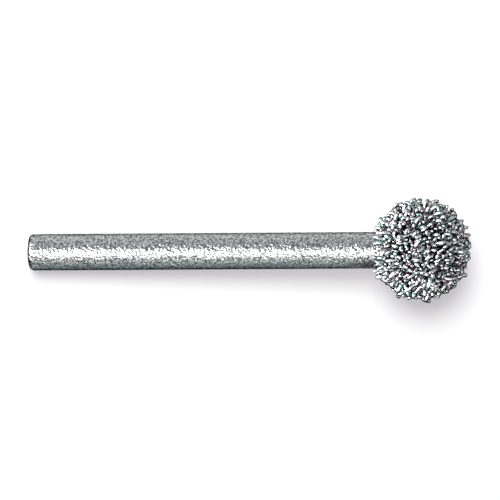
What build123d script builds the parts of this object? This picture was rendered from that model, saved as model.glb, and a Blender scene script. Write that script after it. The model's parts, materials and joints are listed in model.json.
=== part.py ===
"""Carbide burr with a ball head: a turned steel shank and a toothed tungsten carbide ball."""
import math
import os
import random

from build123d import *

# Steel shank, turned from round bar, mm
shank_diameter = 3.175
shank_length = 30.5
tail_crown_radius = 6.3
tail_edge_radius = 0.45
spigot_diameter = 2.2
spigot_length = 2.8
spigot_chamfer = 0.2

# Brazed joint between the spigot and the head's socket, mm
braze_gap = 0.04
socket_end_gap = 0.3

# Ball that carries the teeth, and the flared neck that seats on the shank's shoulder, mm
ball_diameter = 7.2
ball_flat_width = 1.35
neck_root_diameter = 3.5
neck_length = 0.6

# Teeth, mm: their spacing on the ball, their widths and how far they stand out
tooth_pitch = 0.635
tooth_root_width = 0.42
tooth_shoulder_width = 0.29
tooth_root_depth = 0.25
tooth_height_min = 0.55
tooth_height_max = 1.05
shoulder_share_of_height = 0.78
max_lean_deg = 11
max_tip_slant = 0.08

# Bare ring round the neck, mm, and the angle over which the teeth there grow to full height
neck_clearance = 0.02
neck_height_share = 0.55
neck_fade_deg = 15

# Seed of the teeth's uneven heights, turns and leans
tooth_seed = 7

# Sizes that follow from the ones above
shank_radius = shank_diameter / 2
spigot_radius = spigot_diameter / 2
ball_radius = ball_diameter / 2
neck_root_radius = neck_root_diameter / 2
neck_to_centre = math.sqrt(ball_radius**2 - neck_root_radius**2)
ball_centre_x = shank_length + neck_length + neck_to_centre
tail_blend_height = shank_radius - tail_edge_radius
tail_blend_x = tail_crown_radius - math.sqrt(
    (tail_crown_radius - tail_edge_radius) ** 2 - tail_blend_height**2
)
wall_length = shank_length - tail_blend_x


def crown_x(height):
    """Place along the axis of the crowned tail's surface at a height above the axis."""
    return tail_crown_radius - math.sqrt(tail_crown_radius**2 - height**2)


def make_shank():
    """Turned rod from the crowned tail at x = 0 to the shoulder and the spigot past it."""
    tail_corner = (crown_x(shank_radius), shank_radius)
    crown_middle = (crown_x(shank_radius / 2), shank_radius / 2)
    spigot_end = shank_length + spigot_length
    crown = ThreePointArc((0, 0), crown_middle, tail_corner)
    rest = Polyline(
        tail_corner,
        (shank_length, shank_radius),
        (shank_length, spigot_radius),
        (spigot_end - spigot_chamfer, spigot_radius),
        (spigot_end, spigot_radius - spigot_chamfer),
        (spigot_end, 0),
        (0, 0),
    )
    half_section = make_face([crown, rest])
    corner = half_section.vertices().sort_by_distance((*tail_corner, 0))[0]
    return revolve(fillet(corner, tail_edge_radius), Axis.X)


def along_axis(solid, start, end):
    """Turn a solid of revolution from Z to the burr's axis and put it between two places on it."""
    return Pos((start + end) / 2, 0, 0) * Rot(0, 90, 0) * solid


def make_ball():
    """Ball in small flats, which keep its facets few, with its neck and a blind socket."""
    neck_angle = math.pi - math.asin(neck_root_radius / ball_radius)
    bands = round(neck_angle * ball_radius / ball_flat_width)
    sectors = round(2 * math.pi * ball_radius / ball_flat_width)
    rings = []
    for band in range(1, bands + 1):
        angle = neck_angle * band / bands
        x = ball_centre_x + ball_radius * math.cos(angle)
        across = ball_radius * math.sin(angle)
        turns = [2 * math.pi * sector / sectors for sector in range(sectors)]
        rings.append([Vector(x, across * math.cos(turn), across * math.sin(turn)) for turn in turns])
    pole = Vector(ball_centre_x + ball_radius, 0, 0)
    flats = [rings[-1]]
    for here in range(sectors):
        after = (here + 1) % sectors
        flats.append([pole, rings[0][here], rings[0][after]])
        for front, back in zip(rings, rings[1:]):
            flats.append([front[here], back[here], back[after], front[after]])
    ball = Solid(Shell([Face(Wire.make_polygon(flat)) for flat in flats]))
    buried_length = 2 * neck_length
    buried_radius = 2 * neck_root_radius - shank_radius
    neck = Cone(shank_radius, buried_radius, buried_length)
    socket_depth = spigot_length + socket_end_gap
    socket = Cylinder(spigot_radius + braze_gap, socket_depth)
    ball += along_axis(neck, shank_length, shank_length + buried_length)
    return ball - along_axis(socket, shank_length, shank_length + socket_depth)


def tooth_sites():
    """Even spots on a spiral round the ball: each tooth's root plane, height share and draws."""
    cell_area = tooth_pitch**2 * math.sqrt(3) / 2
    count = round(4 * math.pi * ball_radius**2 / cell_area)
    golden_angle = math.pi * (3 - math.sqrt(5))
    bare_angle = math.asin((shank_radius + neck_clearance) / ball_radius)
    chance = random.Random(tooth_seed)
    sites = []
    for index in range(count):
        along = 1 - (2 * index + 1) / count
        across = math.sqrt(1 - along**2)
        around = index * golden_angle
        draws = [chance.random() for _ in range(6)]
        past_bare_ring = math.pi - math.acos(along) - bare_angle
        if past_bare_ring > 0:
            growth = min(1, past_bare_ring / math.radians(neck_fade_deg))
            height_share = neck_height_share + (1 - neck_height_share) * growth
            outward = Vector(along, across * math.cos(around), across * math.sin(around))
            sideways = Vector(0, -math.sin(around), math.cos(around))
            root_centre = Vector(ball_centre_x, 0, 0) + outward * (ball_radius - tooth_root_depth)
            root_plane = Plane(origin=root_centre, x_dir=sideways, z_dir=outward)
            sites.append((root_plane, height_share, draws))
    return sites


def flat_vector(length, turn):
    """Vector of a length in the tooth's root plane, at a share of a full turn."""
    return Vector(length * math.cos(2 * math.pi * turn), length * math.sin(2 * math.pi * turn), 0)


def make_tooth(root_plane, height_share, draws):
    """Four-sided finger that tapers to a shoulder and ends in a slanting point."""
    reach, twist, lean, lean_turn, slant, slant_turn = draws
    stand = height_share * (tooth_height_min + reach * (tooth_height_max - tooth_height_min))
    height = tooth_root_depth + stand
    top = Vector(0, 0, height) + flat_vector(height * math.tan(math.radians(max_lean_deg) * lean), lean_turn)
    tip = top + flat_vector(max_tip_slant * slant, slant_turn)
    root_corners = []
    shoulder_corners = []
    for corner in range(4):
        turn = (corner + twist) / 4
        root_corners.append(flat_vector(tooth_root_width / math.sqrt(2), turn))
        shoulder_corner = flat_vector(tooth_shoulder_width / math.sqrt(2), turn)
        shoulder_corners.append(top * shoulder_share_of_height + shoulder_corner)
    outlines = [root_corners]
    for here in range(4):
        after = (here + 1) % 4
        upper = [shoulder_corners[after], shoulder_corners[here]]
        outlines.append([root_corners[here], root_corners[after], *upper])
        outlines.append([*upper, tip])
    tooth = Solid(Shell([Face(Wire.make_polygon(outline)) for outline in outlines]))
    return tooth.moved(root_plane.location), root_plane.from_local_coords(tip)


def tilt_on_tips(tips, roll_deg):
    """Tilt at which the burr, rolled about its axis, lies on its tail's rounded rim and a tooth."""
    roll = math.radians(roll_deg)
    tilt = 0
    for tip in tips:
        ahead = tip.X - tail_blend_x
        below = -tip.Z * math.cos(roll) - tip.Y * math.sin(roll) - tail_blend_height
        reach = math.hypot(below, ahead)
        tilt = max(tilt, math.atan2(below, ahead) - math.asin(tail_edge_radius / reach))
    return math.degrees(tilt)


def rest_placement(pieces, tips):
    """Roll to the lowest lie, tilt onto tail and teeth, and stand on z = 0 about the origin."""
    coarse = min(range(360), key=lambda degree: tilt_on_tips(tips, degree))
    fine_steps = [coarse + step / 50 for step in range(-50, 51)]
    roll = min(fine_steps, key=lambda degree: tilt_on_tips(tips, degree))
    tilt = tilt_on_tips(tips, roll)
    turned = Rot(0, -tilt, 0) * Rot(roll, 0, 0)
    boxes = [(turned * piece).bounding_box(optimal=True) for piece in pieces]
    box = boxes[0].add(boxes[1])
    print("roll", roll, "tilt", tilt)
    return Pos(-box.center().X, -box.center().Y, -box.min.Z) * turned


made_teeth = [make_tooth(*site) for site in tooth_sites()]
carbide_head = make_ball().fuse(*[tooth for tooth, tip in made_teeth])
steel_shank = make_shank()
placement = rest_placement([steel_shank, carbide_head], [tip for tooth, tip in made_teeth])

wall_middle = placement * Pos(tail_blend_x + wall_length / 2, 0, 0)
wall_start = placement * Pos(tail_blend_x, 0, 0)
print("teeth", len(made_teeth))
print("shank wall: length", wall_length, "middle", wall_middle.position)
print("axis towards the tail", (wall_start.position - wall_middle.position).normalized())

os.makedirs("parts", exist_ok=True)
export_step(placement * steel_shank, "parts/steel_shank.step")
export_step(placement * carbide_head, "parts/carbide_head.step")
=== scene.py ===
"""Looks of the carbide burr: a pebbled steel shank and a ball head thick with carbide teeth."""
import json
import math
import random

import bpy
import numpy as np
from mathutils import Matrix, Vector


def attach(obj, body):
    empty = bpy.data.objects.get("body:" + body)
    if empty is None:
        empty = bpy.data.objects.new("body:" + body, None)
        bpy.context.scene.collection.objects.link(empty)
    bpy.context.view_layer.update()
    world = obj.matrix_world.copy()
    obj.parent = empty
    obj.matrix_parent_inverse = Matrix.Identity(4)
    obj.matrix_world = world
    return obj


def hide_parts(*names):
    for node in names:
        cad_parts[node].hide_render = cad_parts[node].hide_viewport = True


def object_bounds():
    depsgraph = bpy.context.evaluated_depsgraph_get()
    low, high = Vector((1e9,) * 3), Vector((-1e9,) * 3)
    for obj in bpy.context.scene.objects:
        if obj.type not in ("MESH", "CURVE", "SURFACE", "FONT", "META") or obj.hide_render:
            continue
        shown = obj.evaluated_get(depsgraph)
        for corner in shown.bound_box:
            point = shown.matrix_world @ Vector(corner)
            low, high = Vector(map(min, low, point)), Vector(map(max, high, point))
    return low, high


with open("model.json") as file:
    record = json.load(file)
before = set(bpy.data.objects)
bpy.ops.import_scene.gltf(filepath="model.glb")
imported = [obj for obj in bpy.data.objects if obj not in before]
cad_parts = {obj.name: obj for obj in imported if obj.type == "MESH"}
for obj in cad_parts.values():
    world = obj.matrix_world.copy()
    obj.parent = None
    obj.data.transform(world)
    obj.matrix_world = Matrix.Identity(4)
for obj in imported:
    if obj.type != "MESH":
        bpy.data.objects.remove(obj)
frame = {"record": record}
solid_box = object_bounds()

MM = 0.001

# Sizes of the burr in mm, as its solids have them
SHANK_RADIUS = 3.175 / 2
SHANK_LENGTH = 30.5
TAIL_CROWN_RADIUS = 6.3
TAIL_EDGE_RADIUS = 0.45
SPIGOT_RADIUS = 2.2 / 2
SPIGOT_LENGTH = 2.8
BRAZE_GAP = 0.04
SOCKET_END_GAP = 0.3
BALL_RADIUS = 7.2 / 2
NECK_ROOT_RADIUS = 3.5 / 2
NECK_LENGTH = 0.6

# The teeth's spacing, depth, heights, lean and seed, and the bare ring round the neck, as the solids have them
TOOTH_PITCH = 0.635
TOOTH_ROOT_DEPTH = 0.25
TOOTH_HEIGHT_MIN = 0.55
TOOTH_HEIGHT_MAX = 1.05
MAX_LEAN = math.radians(11)
NECK_CLEARANCE = 0.02
NECK_HEIGHT_SHARE = 0.55
NECK_FADE = math.radians(15)
TOOTH_SEED = 7

# How far the burr is rolled about its own axis where it lies
REST_ROLL = math.radians(48.02)

BLEND_HEIGHT = SHANK_RADIUS - TAIL_EDGE_RADIUS
BLEND_X = TAIL_CROWN_RADIUS - math.sqrt((TAIL_CROWN_RADIUS - TAIL_EDGE_RADIUS) ** 2 - BLEND_HEIGHT**2)
NECK_TO_CENTRE = math.sqrt(BALL_RADIUS**2 - NECK_ROOT_RADIUS**2)
BALL_CENTRE_X = SHANK_LENGTH + NECK_LENGTH + NECK_TO_CENTRE

# The shank's mount says where the burr lies: its axis runs towards the tail
shank_mount = frame["record"]["mounts"][0]
FORWARD = -np.array(shank_mount["axis"], float)
WALL_MIDDLE = np.array(shank_mount["pos_m"], float)
WALL_MIDDLE_X = (BLEND_X + SHANK_LENGTH) / 2


def own_axes():
    """The burr's own three axes in the row frame: along it towards the ball, and two across it."""
    level = np.array((0.0, 1.0, 0.0))
    upright = np.cross(FORWARD, level)
    second = math.cos(REST_ROLL) * level + math.sin(REST_ROLL) * upright
    third = math.cos(REST_ROLL) * upright - math.sin(REST_ROLL) * level
    return np.array([FORWARD, second, third])


OWN_AXES = own_axes()


def to_row(points):
    """Points in the burr's own frame, mm along X from the tail, as places in the row frame in metres.

    The burr is rolled about its axis, tilted to lie along FORWARD and carried to its mount.
    """
    return WALL_MIDDLE + MM * ((points - np.array([WALL_MIDDLE_X, 0, 0])) @ OWN_AXES)


# Shapes

WAVE_COUNT = 40
WAVE_LENGTHS = (0.75, 1.35)


def waves(points, size, seed):
    """Even lumps of about one size: cosines along random directions, added up to a spread of 1."""
    chance = np.random.default_rng(seed)
    directions = chance.normal(size=(3, WAVE_COUNT))
    directions /= np.linalg.norm(directions, axis=0)
    lengths = size * chance.uniform(*WAVE_LENGTHS, WAVE_COUNT)
    phases = chance.uniform(0, 2 * math.pi, WAVE_COUNT)
    angles = points @ (directions * (2 * math.pi / lengths)) + phases
    return np.cos(angles).sum(axis=-1) * math.sqrt(2 / WAVE_COUNT)


def lumps(points, sorts):
    """Sum of several sorts of lump, each given by its height, its size and its seed."""
    return sum(height * waves(points, size, seed) for height, size, seed in sorts)


def unit(vectors):
    """Vectors at length 1."""
    return vectors / np.linalg.norm(vectors, axis=-1, keepdims=True)


def tube_quads(rings, sides):
    """Quads between the rings of a tube. They face outwards where the rings turn right about its path."""
    ring = np.arange(rings - 1)[:, None] * sides
    here = np.arange(sides)[None, :]
    after = (here + 1) % sides
    quads = np.stack([ring + here, ring + after, ring + sides + after, ring + sides + here], axis=-1)
    return quads.reshape(-1, 4)


def pole_fan(start, pole, sides):
    """Triangles between the tube's last ring, whose first point is start, and the pole past it."""
    side = np.arange(sides)
    return np.stack([start + side, start + (side + 1) % sides, np.full(sides, pole)], axis=-1)


def lathe(profile, sides):
    """Turn a profile of (x, radius) about the burr's axis; its first and last points are poles.

    The faces point outwards where the profile, seen above the axis, runs on towards the ball.
    """
    turn = np.linspace(0, 2 * math.pi, sides, endpoint=False)
    x = np.repeat(profile[1:-1, :1], sides, axis=1)
    radius = profile[1:-1, 1:]
    points = np.stack([x, radius * np.cos(turn), radius * np.sin(turn)], axis=-1).reshape(-1, 3)
    poles = np.array([[profile[0, 0], 0, 0], [profile[-1, 0], 0, 0]])
    rings = len(profile) - 2
    first_pole = rings * sides
    start_fan = pole_fan(0, first_pole, sides)[:, ::-1]
    end_fan = pole_fan(first_pole - sides, first_pole + 1, sides)
    faces = tube_quads(rings, sides).tolist() + start_fan.tolist() + end_fan.tolist()
    return np.concatenate([points, poles]), faces


def turned_round(faces):
    """Faces that point the other way, each from the same first corner."""
    return [[face[0], *face[:0:-1]] for face in faces]


def line(start, end, step):
    """Evenly spaced points from start up to, but not with, end."""
    start, end = np.array(start, float), np.array(end, float)
    count = max(1, round(float(np.linalg.norm(end - start)) / step))
    return start + (end - start) * (np.arange(count) / count)[:, None]


def arc(centre, radius, start, end, step):
    """Evenly spaced points on an arc about (x, radius) centre, from angle start to end without it."""
    count = max(1, round(abs(end - start) * radius / step))
    angle = start + (end - start) * np.arange(count) / count
    return np.stack([centre[0] + radius * np.cos(angle), centre[1] + radius * np.sin(angle)], axis=-1)


def add_piece(name, material, points, faces, heights=None):
    """Mesh object from points in the burr's frame, smooth shaded, riding on the one body.

    heights, where given, say how far up its tooth each point is, from 0 at the root to 1.
    """
    mesh = bpy.data.meshes.new(name)
    mesh.from_pydata(to_row(points), [], faces)
    if heights is not None:
        attribute = mesh.attributes.new("tooth_height", "FLOAT", "POINT")
        attribute.data.foreach_set("value", heights)
    mesh.shade_smooth()
    mesh.materials.append(material)
    piece = bpy.data.objects.new(name, mesh)
    bpy.context.scene.collection.objects.link(piece)
    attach(piece, "root")
    return piece


# Steps between rings in mm: on the shank's skin, and on what the head hides
SHANK_STEP = 0.062
SHOULDER_STEP = 0.25
HIDDEN_STEP = 0.7
SHANK_SIDES = 162

# Pebbles of the shank's skin: height, size and seed of each sort, and where they die out at the head
SHANK_PEBBLES = ((0.0035, 0.42, 1), (0.0025, 0.22, 2))
PEBBLE_FADE = 0.2


def shank_surface():
    """Turned rod with a crowned tail, its skin raised by two sizes of pebble along the normal."""
    blend_start = math.pi - math.asin(BLEND_HEIGHT / (TAIL_CROWN_RADIUS - TAIL_EDGE_RADIUS))
    crown = arc((TAIL_CROWN_RADIUS, 0), TAIL_CROWN_RADIUS, math.pi, blend_start, SHANK_STEP)
    edge = arc((BLEND_X, BLEND_HEIGHT), TAIL_EDGE_RADIUS, blend_start, math.pi / 2, SHANK_STEP)
    wall = line((BLEND_X, SHANK_RADIUS), (SHANK_LENGTH, SHANK_RADIUS), SHANK_STEP)
    shoulder = line((SHANK_LENGTH, SHANK_RADIUS), (SHANK_LENGTH, SPIGOT_RADIUS), SHOULDER_STEP)
    spigot_end = SHANK_LENGTH + SPIGOT_LENGTH
    spigot = line((SHANK_LENGTH, SPIGOT_RADIUS), (spigot_end, SPIGOT_RADIUS), HIDDEN_STEP)
    end = np.array([(spigot_end, SPIGOT_RADIUS), (spigot_end, 0)])
    profile = np.concatenate([crown, edge, wall, shoulder, spigot, end])
    points, faces = lathe(profile, SHANK_SIDES)
    skin_rings = len(crown) + len(edge) + len(wall) - 1
    skin = slice(0, skin_rings * SHANK_SIDES)
    skin_profile = profile[1:1 + skin_rings]
    along = np.gradient(profile, axis=0)[1:1 + skin_rings]
    normal = unit(np.stack([-along[:, 1], along[:, 0]], axis=-1))
    turn = np.linspace(0, 2 * math.pi, SHANK_SIDES, endpoint=False)
    outward = np.stack([
        np.repeat(normal[:, :1], SHANK_SIDES, axis=1),
        normal[:, 1:] * np.cos(turn),
        normal[:, 1:] * np.sin(turn),
    ], axis=-1).reshape(-1, 3)
    fade = np.clip((SHANK_LENGTH - skin_profile[:, 0]) / PEBBLE_FADE, 0, 1)
    raised = lumps(points[skin], SHANK_PEBBLES) * np.repeat(fade, SHANK_SIDES)
    points[skin] += outward * raised[:, None]
    return points, faces


# The ball's rings and sides, and its lumps: height, size and seed of each sort, and how far it is sunk
CORE_STEP = 0.085
SEAT_STEP = 0.2
CORE_SIDES = 250
CORE_LUMPS = ((0.035, 0.5, 3), (0.02, 0.26, 4))
CORE_SINK = 0.03


def core_surface():
    """Ball under the teeth, with its flared neck and socket, its skin lumpy with fused grains.

    Its profile runs from the ball back to the socket, so the faces are turned round at the end.
    """
    neck_angle = math.pi - math.asin(NECK_ROOT_RADIUS / BALL_RADIUS)
    ball = arc((BALL_CENTRE_X, 0), BALL_RADIUS, 0, neck_angle, CORE_STEP)
    root = (SHANK_LENGTH + NECK_LENGTH, NECK_ROOT_RADIUS)
    neck = line(root, (SHANK_LENGTH, SHANK_RADIUS), CORE_STEP)
    socket_radius = SPIGOT_RADIUS + BRAZE_GAP
    socket_end = SHANK_LENGTH + SPIGOT_LENGTH + SOCKET_END_GAP
    seat = line((SHANK_LENGTH, SHANK_RADIUS), (SHANK_LENGTH, socket_radius), SEAT_STEP)
    socket = line((SHANK_LENGTH, socket_radius), (socket_end, socket_radius), HIDDEN_STEP)
    end = np.array([(socket_end, socket_radius), (socket_end, 0)])
    points, faces = lathe(np.concatenate([ball, neck, seat, socket, end]), CORE_SIDES)
    skin = slice(0, (len(ball) - 1) * CORE_SIDES)
    outward = (points[skin] - np.array([BALL_CENTRE_X, 0, 0])) / BALL_RADIUS
    points[skin] += outward * (lumps(points[skin], CORE_LUMPS) - CORE_SINK)[:, None]
    return points, turned_round(faces)


def spiral(count):
    """Even directions out of the ball: equal steps along the axis, a golden angle apart round it."""
    index = np.arange(count)
    along = 1 - (2 * index + 1) / count
    across = np.sqrt(1 - along**2)
    around = index * math.pi * (3 - math.sqrt(5))
    return np.stack([along, across * np.cos(around), across * np.sin(around)], axis=-1)


def sites(outward):
    """Root centre, axes (sideways, third, outward) and height share of a tooth in each direction.

    Also says which directions lie clear of the bare ring round the neck. The height share grows
    with the angle past that ring.
    """
    around = np.arctan2(outward[:, 2], outward[:, 1])
    sideways = np.stack([0 * around, -np.sin(around), np.cos(around)], axis=-1)
    axes = np.stack([sideways, np.cross(outward, sideways), outward], axis=1)
    bare = math.asin((SHANK_RADIUS + NECK_CLEARANCE) / BALL_RADIUS)
    past_bare_ring = math.pi - np.arccos(outward[:, 0]) - bare
    growth = np.clip(past_bare_ring / NECK_FADE, 0, 1)
    share = NECK_HEIGHT_SHARE + (1 - NECK_HEIGHT_SHARE) * growth
    root = np.array([BALL_CENTRE_X, 0, 0]) + outward * (BALL_RADIUS - TOOTH_ROOT_DEPTH)
    return root, axes, share, past_bare_ring > 0


def tooth_sites():
    """The solids' own tooth sites, with the six random draws of each tooth."""
    count = round(4 * math.pi * BALL_RADIUS**2 / (TOOTH_PITCH**2 * math.sqrt(3) / 2))
    chance = random.Random(TOOTH_SEED)
    draws = np.array([[chance.random() for _ in range(6)] for _ in range(count)])
    root, axes, share, clear = sites(spiral(count))
    return root[clear], axes[clear], share[clear], draws[clear]


# The sprouts' spiral, and the pushes that move them off each other; NEAREST keeps a push finite
SPROUTS = 720
PUSHES = 14
PUSH_LENGTH = 0.03
NEAREST = 0.01


def sprout_sites():
    """Sites in the gaps between the teeth: a finer spiral, pushed apart and off the teeth.

    Each push is the sum of the offsets from all other sites, each over the cube of its length.
    """
    teeth_outward = tooth_sites()[1][:, 2]
    outward = spiral(SPROUTS)
    for _ in range(PUSHES):
        others = np.concatenate([teeth_outward, outward])
        offset = outward[:, None, :] - others[None, :, :]
        distance = np.linalg.norm(offset, axis=-1, keepdims=True) + NEAREST
        push = (offset / distance**3).sum(axis=1)
        push -= (push * outward).sum(axis=1, keepdims=True) * outward
        outward = unit(outward + PUSH_LENGTH * push / np.linalg.norm(push, axis=1).max())
    root, axes, share, clear = sites(outward)
    return root[clear], axes[clear], share[clear]


def turned_by(length, turn):
    """Flat vectors of a length at a share of a full turn, with no height."""
    angle = 2 * math.pi * turn
    return np.stack([length * np.cos(angle), length * np.sin(angle), 0 * angle * length], axis=-1)


def straight_out(height):
    """Vectors straight out of the ball, of each height."""
    return np.stack([0 * height, 0 * height, height], axis=-1)


# Where a finger's rings lie, from 0 at the root to 1, and the angles of the rings on its rounded end
FINGER_STATIONS = np.array([0, 0.2, 0.4, 0.55, 0.7, 0.85, 1.0])
FINGER_CAP = np.radians([35, 65])

# Ranges that each finger draws from: its bend, its beads, and how uneven it is round each ring
FINGER_BEND = (0.5, 1.15)
BEAD_DEPTH = (0.03, 0.12)
BEAD_COUNT = (1.1, 1.9)
OVAL_DEPTH = (0.05, 0.25)
BUMP_DEPTH = (0.03, 0.14)
RING_PHASE = (0, 6)

# Angle in radians by which the oval and the three bumps turn from root to top
OVAL_TWIST = 2
BUMP_TWIST = 5


def fingers(root, axes, rise, hook, root_width, top_width, sides, chance):
    """Knobbly hooked fingers: rings carried along a bent line, closed by a rounded end.

    The line is p(t) = rise (t + bend (t - t^2)) + hook t^2, with t from 0 at the root to 1, in the
    tooth's own axes. Each ring stands square to it. The radius tapers from root to top, swells in
    beads on the way, is uneven round the ring and follows a quarter circle over the end. Also gives
    t at every point.
    """
    number = len(root)

    def draw(low, high):
        return chance.uniform(low, high, (number, 1))

    t = FINGER_STATIONS[None, :, None]
    bend = draw(*FINGER_BEND)[..., None]
    middle = rise[:, None, :] * (t + bend * (t - t**2)) + hook[:, None, :] * t**2
    tangent = unit(rise[:, None, :] * (1 + bend * (1 - 2 * t)) + 2 * hook[:, None, :] * t)
    beads = 1 + draw(*BEAD_DEPTH) * np.sin(2 * math.pi * (draw(*BEAD_COUNT) * t[..., 0] + draw(0, 1)))
    radius = (root_width * (1 - t[..., 0]) + top_width * t[..., 0]) / 2 * beads
    end_radius = radius[:, -1:]
    cap_middle = middle[:, -1:] + tangent[:, -1:] * (end_radius * np.sin(FINGER_CAP))[..., None]
    pole = middle[:, -1] + tangent[:, -1] * end_radius
    middle = np.concatenate([middle, cap_middle], axis=1)
    tangent = np.concatenate([tangent, np.repeat(tangent[:, -1:], len(FINGER_CAP), axis=1)], axis=1)
    radius = np.concatenate([radius, end_radius * np.cos(FINGER_CAP)], axis=1)
    share = np.concatenate([FINGER_STATIONS, np.ones(len(FINGER_CAP))])
    first = unit(np.array([1.0, 0, 0]) - tangent[..., :1] * tangent)
    second = np.cross(tangent, first)
    turn = 2 * math.pi * np.arange(sides) / sides + draw(0, 2 * math.pi)
    turn = turn[:, None, :]
    up = share[:, None]
    oval = 1 + draw(*OVAL_DEPTH)[..., None] * np.cos(2 * turn + draw(*RING_PHASE)[..., None] + OVAL_TWIST * up)
    bumps = draw(*BUMP_DEPTH)[..., None] * np.cos(3 * turn + draw(*RING_PHASE)[..., None] + BUMP_TWIST * up)
    reach = radius[..., None] * (oval + bumps)
    ring = first[:, :, None] * (reach * np.cos(turn))[..., None]
    ring = ring + second[:, :, None] * (reach * np.sin(turn))[..., None]
    local = (middle[:, :, None] + ring).reshape(number, -1, 3)
    local = np.concatenate([local, pole[:, None, :]], axis=1)
    points = root[:, None, :] + np.einsum("nkc,ncd->nkd", local, axes)
    heights = np.tile(np.append(np.repeat(share, sides), 1.0), number)
    return points.reshape(-1, 3), finger_faces(number, len(share), sides), heights


def finger_faces(number, rings, sides):
    """Faces of many fingers: quads between rings, a fan to the pole and a polygon over the root."""
    pole = rings * sides
    root = np.arange(sides)[::-1][None]
    offset = np.arange(number)[:, None, None] * (pole + 1)
    faces = []
    for kind in (tube_quads(rings, sides), pole_fan(pole - sides, pole, sides), root):
        faces += (kind + offset).reshape(-1, kind.shape[1]).tolist()
    return faces


# Fingers on the teeth's own sites, in mm, with their hooks' range
FINGER_ROOT_WIDTH = 0.44
FINGER_TOP_WIDTH = 0.35
FINGER_SIDES = 7
HOOK_LENGTH = (0.15, 0.9)
FINGER_SEED = 11

# Sprouts in the gaps between them
SPROUT_ROOT_WIDTH = 0.38
SPROUT_TOP_WIDTH = 0.3
SPROUT_SIDES = 6
SPROUT_HEIGHT = (0.3, 0.75)
SPROUT_LEAN = (0, 0.15)
SPROUT_HOOK = (0.2, 0.75)
SPROUT_SEED = 13

# Hook length by the neck, and the direction in the row frame that part of all hooks follow
NECK_SWEEP = 0.45
COMB_TOWARDS = np.array([0.8, 0.6, 0.0])
COMB_SHARE = 0.5
COMB_SPREAD = 0.45


def combed(hook, axes, chance):
    """Hooks turned partly along COMB_TOWARDS, a direction in the row frame, or straight against it.

    The share of them that go along it grows with how far their tooth points that way itself.
    """
    comb = axes @ (OWN_AXES @ COMB_TOWARDS)
    share_along = 0.5 + COMB_SPREAD * comb[:, 2]
    comb[:, 2] = 0
    way = np.where(chance.random(len(hook)) < share_along, 1.0, -1.0)[:, None]
    length = np.linalg.norm(hook, axis=1, keepdims=True)
    return (1 - COMB_SHARE) * hook + COMB_SHARE * way * length * comb


def swept(hook, axes, share):
    """Hooks that turn, the nearer they are to the neck, straight back over the shank's shoulder."""
    nearness = ((1 - share) / (1 - NECK_HEIGHT_SHARE))[:, None]
    backward = axes @ np.array([-1.0, 0, 0])
    return hook * (1 - nearness) + nearness * NECK_SWEEP * backward


def teeth_surface():
    """One hooked finger on every tooth site, with the solids' own heights and leans."""
    root, axes, share, draws = tooth_sites()
    reach, _, lean, lean_turn, _, slant_turn = draws.T
    chance = np.random.default_rng(FINGER_SEED)
    stand = share * (TOOTH_HEIGHT_MIN + reach * (TOOTH_HEIGHT_MAX - TOOTH_HEIGHT_MIN))
    height = TOOTH_ROOT_DEPTH + stand - FINGER_TOP_WIDTH / 2
    rise = straight_out(height) + turned_by(height * np.tan(MAX_LEAN * lean), lean_turn)
    hook = combed(turned_by(chance.uniform(*HOOK_LENGTH, len(root)), slant_turn), axes, chance)
    hook = swept(hook, axes, share)
    return fingers(root, axes, rise, hook, FINGER_ROOT_WIDTH, FINGER_TOP_WIDTH, FINGER_SIDES, chance)


def sprouts_surface():
    """Slimmer and mostly shorter fingers in the gaps between the teeth."""
    root, axes, share = sprout_sites()
    chance = np.random.default_rng(SPROUT_SEED)
    number = len(root)
    height = TOOTH_ROOT_DEPTH + share * chance.uniform(*SPROUT_HEIGHT, number) - SPROUT_TOP_WIDTH / 2
    lean = turned_by(chance.uniform(*SPROUT_LEAN, number), chance.random(number))
    rise = straight_out(height) + lean
    hook = combed(turned_by(chance.uniform(*SPROUT_HOOK, number), chance.random(number)), axes, chance)
    hook = swept(hook, axes, share)
    return fingers(root, axes, rise, hook, SPROUT_ROOT_WIDTH, SPROUT_TOP_WIDTH, SPROUT_SIDES, chance)


def icosahedron():
    """Corners of a unit icosahedron, from the golden ratio, and its triangles facing outwards."""
    g = (1 + math.sqrt(5)) / 2
    corners = np.array([(-1, g, 0), (1, g, 0), (-1, -g, 0), (1, -g, 0), (0, -1, g), (0, 1, g),
                        (0, -1, -g), (0, 1, -g), (g, 0, -1), (g, 0, 1), (-g, 0, -1), (-g, 0, 1)], float)
    triangles = np.array([(0, 11, 5), (0, 5, 1), (0, 1, 7), (0, 7, 10), (0, 10, 11), (1, 5, 9),
                          (5, 11, 4), (11, 10, 2), (10, 7, 6), (7, 1, 8), (3, 9, 4), (3, 4, 2),
                          (3, 2, 6), (3, 6, 8), (3, 8, 9), (4, 9, 5), (2, 4, 11), (6, 2, 10),
                          (8, 6, 7), (9, 8, 1)])
    return corners / math.hypot(1, g), triangles


# Grains by each tooth: how far up it as a share, how far from its middle and how big in mm, how uneven
GRAINS_EACH = 2
GRAIN_LEVEL = (0.0, 0.5)
GRAIN_OFFSET = (0.13, 0.22)
GRAIN_SIZE = (0.055, 0.1)
GRAIN_SQUASH = (0.75, 1.3)
GRAIN_JITTER = (0.8, 1.2)
GRAIN_SEED = 12


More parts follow.
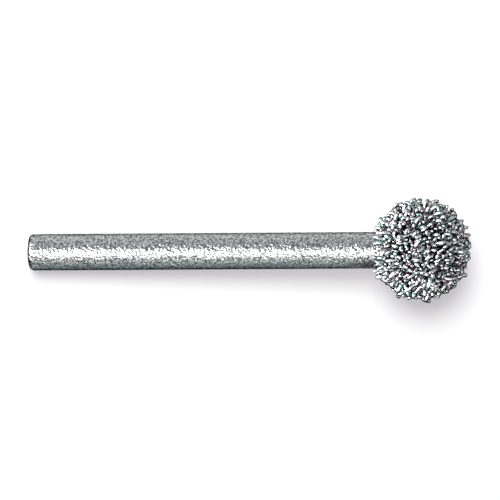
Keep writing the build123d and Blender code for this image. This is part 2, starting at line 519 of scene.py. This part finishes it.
def grains_surface():
    """Small faceted grains stuck to the teeth's sides and roots, each a squashed icosahedron."""
    root, axes, share, _ = tooth_sites()
    chance = np.random.default_rng(GRAIN_SEED)
    number = len(root) * GRAINS_EACH
    owner = np.repeat(np.arange(len(root)), GRAINS_EACH)
    level = TOOTH_ROOT_DEPTH + share[owner] * chance.uniform(*GRAIN_LEVEL, number)
    offset = turned_by(chance.uniform(*GRAIN_OFFSET, number), chance.random(number))
    offset[:, 2] = level
    centre = root[owner] + np.einsum("nc,ncd->nd", offset, axes[owner])
    corners, triangles = icosahedron()
    size = chance.uniform(*GRAIN_SIZE, (number, 1, 1)) * chance.uniform(*GRAIN_SQUASH, (number, 1, 3))
    jitter = chance.uniform(*GRAIN_JITTER, (number, len(corners), 1))
    points = centre[:, None, :] + corners[None] * size * jitter
    faces = triangles[None] + np.arange(number)[:, None, None] * len(corners)
    heights = np.repeat(level / (TOOTH_ROOT_DEPTH + TOOTH_HEIGHT_MAX), len(corners))
    return points.reshape(-1, 3), faces.reshape(-1, 3).tolist(), heights


# Materials

def node(tree, kind, place, **values):
    """Shader node of a kind, with its input sockets or its own settings set by name."""
    made = tree.nodes.new(kind)
    made.location = place
    for name, value in values.items():
        if name in made.inputs:
            made.inputs[name].default_value = value
        else:
            setattr(made, name, value)
    return made


def ranged(tree, place, value, span, low=0.0, high=1.0):
    """A value carried from its span over to low at the span's start and high at its end, held past both."""
    made = node(tree, "ShaderNodeMapRange", place)
    for name, setting in (("From Min", span[0]), ("From Max", span[1]), ("To Min", low), ("To Max", high)):
        made.inputs[name].default_value = setting
    tree.links.new(value, made.inputs["Value"])
    return made.outputs["Result"]


def mix_colour(tree, place, factor, first, second):
    """Mix of two colours by a factor, each of them either a socket or a plain colour."""
    mix = node(tree, "ShaderNodeMix", place, data_type="RGBA")
    tree.links.new(factor, mix.inputs["Factor"])
    for socket, value in ((mix.inputs[6], first), (mix.inputs[7], second)):
        if isinstance(value, tuple):
            socket.default_value = (*value, 1)
        else:
            tree.links.new(value, socket)
    return mix.outputs[2]


# Span of the noise over which a mask goes from 0 to 1
MASK_SPAN = (0.4, 0.6)


def grainy_skin_group():
    """Group: grain and lumps over a surface from object coordinates, as heights and two masks."""
    group = bpy.data.node_groups.new("grainy_skin", "ShaderNodeTree")
    for way, names in (("INPUT", ("Grain Scale", "Lump Scale")), ("OUTPUT", ("Height", "Grain", "Lump"))):
        for name in names:
            group.interface.new_socket(name, in_out=way, socket_type="NodeSocketFloat")
    entry = node(group, "NodeGroupInput", (-900, 0))
    leave = node(group, "NodeGroupOutput", (500, 0))
    place = node(group, "ShaderNodeTexCoord", (-900, 250))
    mapping = node(group, "ShaderNodeMapping", (-700, 250))
    height = node(group, "ShaderNodeMath", (50, 100), operation="ADD")
    link = group.links.new
    link(place.outputs["Object"], mapping.inputs["Vector"])
    for index, (name, row) in enumerate((("Grain", 200), ("Lump", -100))):
        noise = node(group, "ShaderNodeTexNoise", (-450, row), Detail=1.0, Roughness=0.5)
        link(mapping.outputs["Vector"], noise.inputs["Vector"])
        link(entry.outputs[name + " Scale"], noise.inputs["Scale"])
        link(ranged(group, (-200, row + 50), noise.outputs["Fac"], MASK_SPAN), leave.inputs[name])
        link(noise.outputs["Fac"], height.inputs[index])
    link(height.outputs["Value"], leave.inputs["Height"])
    return group


def grainy_metal(name, group, edge, roughness, grain_mm, lump_mm, bump_mm):
    """Metal with a grainy skin: its gloss follows the lumps, and grain and lumps are bump.

    edge is how much of its shine is left where it is seen at a glancing angle; kept low, it is painted dark
    shade round the outline. The finish that uses it adds the colour, from the masks of the skin's node, which
    is given too.
    """
    material = bpy.data.materials.new(name)
    material.use_nodes = True
    tree = material.node_tree
    shader = tree.nodes["Principled BSDF"]
    shader.inputs["Metallic"].default_value = 1.0
    shader.inputs["Specular Tint"].default_value = (edge, edge, edge, 1)
    skin = node(tree, "ShaderNodeGroup", (-900, 0), node_tree=group)
    skin.inputs["Grain Scale"].default_value = 1 / (grain_mm * MM)
    skin.inputs["Lump Scale"].default_value = 1 / (lump_mm * MM)
    smooth, rough = roughness
    gloss = ranged(tree, (-400, -50), skin.outputs["Lump"], (0.0, 1.0), low=rough, high=smooth)
    bump = node(tree, "ShaderNodeBump", (-300, -300), Distance=bump_mm * MM)
    link = tree.links.new
    link(gloss, shader.inputs["Roughness"])
    link(skin.outputs["Height"], bump.inputs["Height"])
    link(bump.outputs["Normal"], shader.inputs["Normal"])
    return material, skin


SHANK_DARK = (0.17, 0.18, 0.185)
SHANK_LIGHT = (0.6, 0.61, 0.615)


def shank_finish(group):
    """Steel, darker and lighter with its grain."""
    # The low edge paints dark shade round the shank's outline
    material, skin = grainy_metal("shank_metal", group, edge=0.05, roughness=(0.13, 0.23),
                                  grain_mm=0.17, lump_mm=0.42, bump_mm=0.058)
    tree = material.node_tree
    colour = mix_colour(tree, (-400, 200), skin.outputs["Grain"], SHANK_DARK, SHANK_LIGHT)
    tree.links.new(colour, tree.nodes["Principled BSDF"].inputs["Base Color"])
    return material


# Carbide colours, the first two of a set being its teal and its maroon tint
# Tip colours, lighter than the flanks: partly wear, partly a painted highlight on the tooth tops
TIP_WEAR_AND_HIGHLIGHT_COLOURS = ((0.58, 0.83, 0.8), (0.88, 0.71, 0.74))
FLANK_COLOURS = ((0.44, 0.72, 0.69), (0.84, 0.6, 0.64))
# Painted shade: dark colours laid along the outline, where a surface turns from the eye
PAINTED_OUTLINE_SHADE_COLOURS = ((0.003, 0.035, 0.032), (0.055, 0.006, 0.014))
FLECK_COLOUR = (0.27, 0.3, 0.3)
BED_COLOUR = (0.8, 0.82, 0.82)

# Heights on a tooth, as shares, over which bed turns to flank and flank to tip, the tip lighter partly as wear
# and partly as a painted highlight
FLANK_SPAN = (0.0, 0.25)
TIP_WEAR_AND_HIGHLIGHT_SPAN = (0.3, 0.8)

# Span of the grain mask over which flecks end, and of the turn from the eye over which the painted shade line
# begins
FLECK_SPAN = (0.0, 0.6)
OUTLINE_SHADE_SPAN = (0.3, 0.44)


def carbide_finish(group):
    """Carbide: bed, flank and flecked tip up each tooth, the tip lighter partly as wear and partly as a
    painted highlight, and a painted shade line where it turns from the eye.
    """
    # The low edge paints dark shade round each tooth's outline
    material, skin = grainy_metal("carbide_metal", group, edge=0.06, roughness=(0.22, 0.36),
                                  grain_mm=0.1, lump_mm=0.27, bump_mm=0.03)
    tree = material.node_tree
    tint = skin.outputs["Lump"]
    height = node(tree, "ShaderNodeAttribute", (-900, 500), attribute_name="tooth_height").outputs["Fac"]
    away = node(tree, "ShaderNodeLayerWeight", (-400, 650), Blend=0.5).outputs["Facing"]
    flecks = ranged(tree, (-650, -150), skin.outputs["Grain"], FLECK_SPAN)
    plain_tip = mix_colour(tree, (-650, 250), tint, *TIP_WEAR_AND_HIGHLIGHT_COLOURS)
    tip = mix_colour(tree, (-450, 150), flecks, FLECK_COLOUR, plain_tip)
    flank = mix_colour(tree, (-650, 50), tint, *FLANK_COLOURS)
    low = mix_colour(tree, (-400, 300), ranged(tree, (-650, 750), height, FLANK_SPAN), BED_COLOUR, flank)
    # Painted highlight and wear: the colour turns lighter towards each tooth's top
    shade = mix_colour(tree, (-200, 400), ranged(tree, (-650, 500), height, TIP_WEAR_AND_HIGHLIGHT_SPAN), low, tip)
    # Painted shade: the colour darkens towards the outline, by how far the surface turns from the eye
    outline_shade_colour = mix_colour(tree, (-200, 850), tint, *PAINTED_OUTLINE_SHADE_COLOURS)
    outline_shaded = mix_colour(tree, (0, 500), ranged(tree, (-200, 650), away, OUTLINE_SHADE_SPAN), shade, outline_shade_colour)
    tree.links.new(outline_shaded, tree.nodes["Principled BSDF"].inputs["Base Color"])
    return material


# Pieces

grainy_skin = grainy_skin_group()
shank_metal = shank_finish(grainy_skin)
carbide_metal = carbide_finish(grainy_skin)

shank = add_piece("pebbled_shank", shank_metal, *shank_surface())
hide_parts("steel_shank")
core = add_piece("ball_core", carbide_metal, *core_surface())
teeth = add_piece("carbide_teeth", carbide_metal, *teeth_surface())
sprouts = add_piece("carbide_sprouts", carbide_metal, *sprouts_surface())
grains = add_piece("carbide_grains", carbide_metal, *grains_surface())
for piece in (core, teeth, sprouts, grains):
    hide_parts("carbide_head")


# Stage, in metres

FLOOR_HALF = 3.0
FLOOR_PAINT = (0.54, 0.56, 0.52)
FLOOR_GLOW_COLOUR = (0.95, 0.9, 1)
FLOOR_GLOW = 0.47

# Strength of the room: its level, and how it changes with the direction looked in
WORLD_LEVEL = 0.59
WORLD_SLOPE = (-0.4, 0.3, -0.15)

# Grey cards in mm: name, both ends of the foot as x and distance across from the shank's axis, height
# of the top at both ends, and colour
CARDS = (
    ("shank_card", (-24, -3.4), (9, -3.4), (2.8, 5.6), (0.6, 0.68, 0.71)),
    ("edge_card", (-19.5, -2.3), (9, -3.3), (1.4, 3), (0.1, 0.12, 0.13)),
    ("tail_card", (-20.3, 3), (-20.3, -3), (3, 3), (0.12, 0.12, 0.12)),
    ("corner_card", (9, -3.4), (9, -6.2), (5.6, 6), (0.35, 0.36, 0.36)),
    ("ball_card", (9, -6.2), (24, -6.2), (6, 7.5), (0.2, 0.2, 0.2)),
)

# Soft boxes that mirrors alone see: name, direction from the burr, width and height, and power
BOX_DISTANCE = 0.5
BOXES = (
    ("band_box", (-0.16, -0.265, 1.0), (0.55, 0.22), 1.15),
    ("fill_box", (0.0, -0.73, 0.68), (0.2, 0.56), 0.4),
    ("left_box", (-0.74, -0.08, 0.68), (0.28, 0.56), 4.2),
    ("low_box", (-0.9, 0.16, 0.4), (0.5, 0.3), 2.6),
    ("right_box", (0.82, -0.1, 0.57), (0.26, 0.3), 0.5),
)

KEY_POWER = 3.05
KEY_WIDTH = math.radians(33)
KEY_AIM = (0.12, -0.39, -1.0)


def dull_paint(name, colour):
    """Paint without any shine."""
    material = bpy.data.materials.new(name)
    material.use_nodes = True
    shader = material.node_tree.nodes["Principled BSDF"]
    shader.inputs["Base Color"].default_value = (*colour, 1)
    shader.inputs["Roughness"].default_value = 1.0
    shader.inputs["Specular IOR Level"].default_value = 0.0
    return material


def stage_plate(name, corners, material):
    """Flat plate of the stage with four corners."""
    mesh = bpy.data.meshes.new(name)
    mesh.from_pydata(corners, [], [(0, 1, 2, 3)])
    mesh.materials.append(material)
    plate = bpy.data.objects.new(name, mesh)
    bpy.context.scene.collection.objects.link(plate)
    return plate


def floor_paint():
    """White floor: paint that takes the shadow, with a glow that the camera and mirrors see."""
    material = dull_paint("white_floor", FLOOR_PAINT)
    tree = material.node_tree
    shader = tree.nodes["Principled BSDF"]
    shader.inputs["Emission Color"].default_value = (*FLOOR_GLOW_COLOUR, 1)
    path = node(tree, "ShaderNodeLightPath", (-900, -200))
    seen = node(tree, "ShaderNodeMath", (-650, -200), operation="ADD")
    seen_all = node(tree, "ShaderNodeMath", (-450, -200), operation="ADD")
    glow = node(tree, "ShaderNodeMath", (-250, -200), operation="MULTIPLY")
    glow.inputs[1].default_value = FLOOR_GLOW
    link = tree.links.new
    link(path.outputs["Is Camera Ray"], seen.inputs[0])
    link(path.outputs["Is Glossy Ray"], seen.inputs[1])
    link(seen.outputs["Value"], seen_all.inputs[0])
    link(path.outputs["Is Transmission Ray"], seen_all.inputs[1])
    link(seen_all.outputs["Value"], glow.inputs[0])
    link(glow.outputs["Value"], shader.inputs["Emission Strength"])
    return material


def add_floor():
    """Large flat floor that the burr lies on."""
    half = FLOOR_HALF
    corners = [(-half, -half, 0), (half, -half, 0), (half, half, 0), (-half, half, 0)]
    stage_plate("floor", corners, floor_paint())


def add_card(name, start, end, tops, colour):
    """Dull card standing on the floor beside the burr, which darkens the side that faces it.

    It is there for reflections alone: the camera, the floor and the shadows don't have it.
    """
    ends = [(MM * x, WALL_MIDDLE[1] + MM * y) for x, y in (start, end)]
    start_top, end_top = tops
    corners = [(*ends[0], 0), (*ends[0], MM * start_top), (*ends[1], MM * end_top), (*ends[1], 0)]
    card = stage_plate(name, corners, dull_paint(name, colour))
    card.visible_camera = False
    card.visible_diffuse = False
    card.visible_shadow = False


def add_lamp(lamp, aim):
    """Holder for a lamp, turned to shine along aim."""
    holder = bpy.data.objects.new(lamp.name, lamp)
    holder.rotation_mode = "QUATERNION"
    holder.rotation_quaternion = Vector(aim).to_track_quat("-Z", "Y")
    bpy.context.scene.collection.objects.link(holder)
    return holder


def add_softbox(name, toward, size, power):
    """Rectangular lamp in a direction from the burr, facing it, that mirrors alone see."""
    lamp = bpy.data.lights.new(name, "AREA")
    lamp.shape = "RECTANGLE"
    lamp.size, lamp.size_y = size
    lamp.energy = power
    direction = unit(np.array(toward))
    holder = add_lamp(lamp, -direction)
    holder.location = direction * BOX_DISTANCE
    holder.visible_diffuse = False


def add_key():
    """Broad sun from the upper left, which lays the soft shadow on the floor."""
    lamp = bpy.data.lights.new("key", "SUN")
    lamp.energy = KEY_POWER
    lamp.angle = KEY_WIDTH
    add_lamp(lamp, KEY_AIM).visible_glossy = False


def studio_world():
    """Plain room, lighter on the far side than on the near side, with dark ends left and right.

    Its strength is WORLD_LEVEL plus the dot product of WORLD_SLOPE with the direction d looked in,
    all times 1 - d_x^2.
    """
    world = bpy.data.worlds.new("studio")
    bpy.context.scene.world = world
    world.use_nodes = True
    tree = world.node_tree
    tree.nodes.clear()
    place = node(tree, "ShaderNodeTexCoord", (-700, 0))
    slope = node(tree, "ShaderNodeVectorMath", (-500, 0), operation="DOT_PRODUCT")
    slope.inputs[1].default_value = WORLD_SLOPE
    level = node(tree, "ShaderNodeMath", (-300, 0), operation="ADD")
    level.inputs[1].default_value = WORLD_LEVEL
    parts = node(tree, "ShaderNodeSeparateXYZ", (-500, -250))
    square = node(tree, "ShaderNodeMath", (-300, -250), operation="MULTIPLY")
    ends = node(tree, "ShaderNodeMath", (-100, -250), operation="MULTIPLY_ADD")
    ends.inputs[1].default_value = -1.0
    ends.inputs[2].default_value = 1.0
    strength = node(tree, "ShaderNodeMath", (100, -100), operation="MULTIPLY")
    room = node(tree, "ShaderNodeBackground", (300, 0), Color=(1, 1, 1, 1))
    out = node(tree, "ShaderNodeOutputWorld", (500, 0))
    link = tree.links.new
    link(place.outputs["Generated"], slope.inputs[0])
    link(place.outputs["Generated"], parts.inputs["Vector"])
    link(parts.outputs["X"], square.inputs[0])
    link(parts.outputs["X"], square.inputs[1])
    link(square.outputs["Value"], ends.inputs[0])
    link(slope.outputs["Value"], level.inputs[0])
    link(level.outputs["Value"], strength.inputs[0])
    link(ends.outputs["Value"], strength.inputs[1])
    link(strength.outputs["Value"], room.inputs["Strength"])
    link(room.outputs["Background"], out.inputs["Surface"])


# The photograph: 500 pixels across, the shank 36.5 of them wide, its tail 27 from the left edge
PHOTO_SIDE = 500
SHANK_PIXELS = 36.5
PIXEL = 2 * SHANK_RADIUS / SHANK_PIXELS * MM
TAIL_PIXEL = 27.25
AXIS_PIXEL = 251.0
AXIS_RISE = math.radians(0.35)
CAMERA_DISTANCE = 0.6
CAMERA_CLIP = (0.01, 10)
SENSOR = 36.0


def add_camera():
    """Camera looking straight down from far off, framed as the photograph is."""
    low = solid_box[0]
    middle = PHOTO_SIDE / 2
    camera = bpy.data.cameras.new("camera")
    camera.sensor_width = SENSOR
    camera.lens = SENSOR * (CAMERA_DISTANCE - WALL_MIDDLE[2]) / (PHOTO_SIDE * PIXEL)
    camera.clip_start, camera.clip_end = CAMERA_CLIP
    holder = bpy.data.objects.new("camera", camera)
    x = low.x + (middle - TAIL_PIXEL) * PIXEL
    y = WALL_MIDDLE[1] + (AXIS_PIXEL - middle) * PIXEL
    holder.location = (x, y, CAMERA_DISTANCE)
    holder.rotation_euler = (0, 0, -AXIS_RISE)
    bpy.context.scene.collection.objects.link(holder)
    bpy.context.scene.camera = holder


add_floor()
for card in CARDS:
    add_card(*card)
studio_world()
for box in BOXES:
    add_softbox(*box)
add_key()
add_camera()
bpy.context.scene.view_settings.view_transform = "Standard"
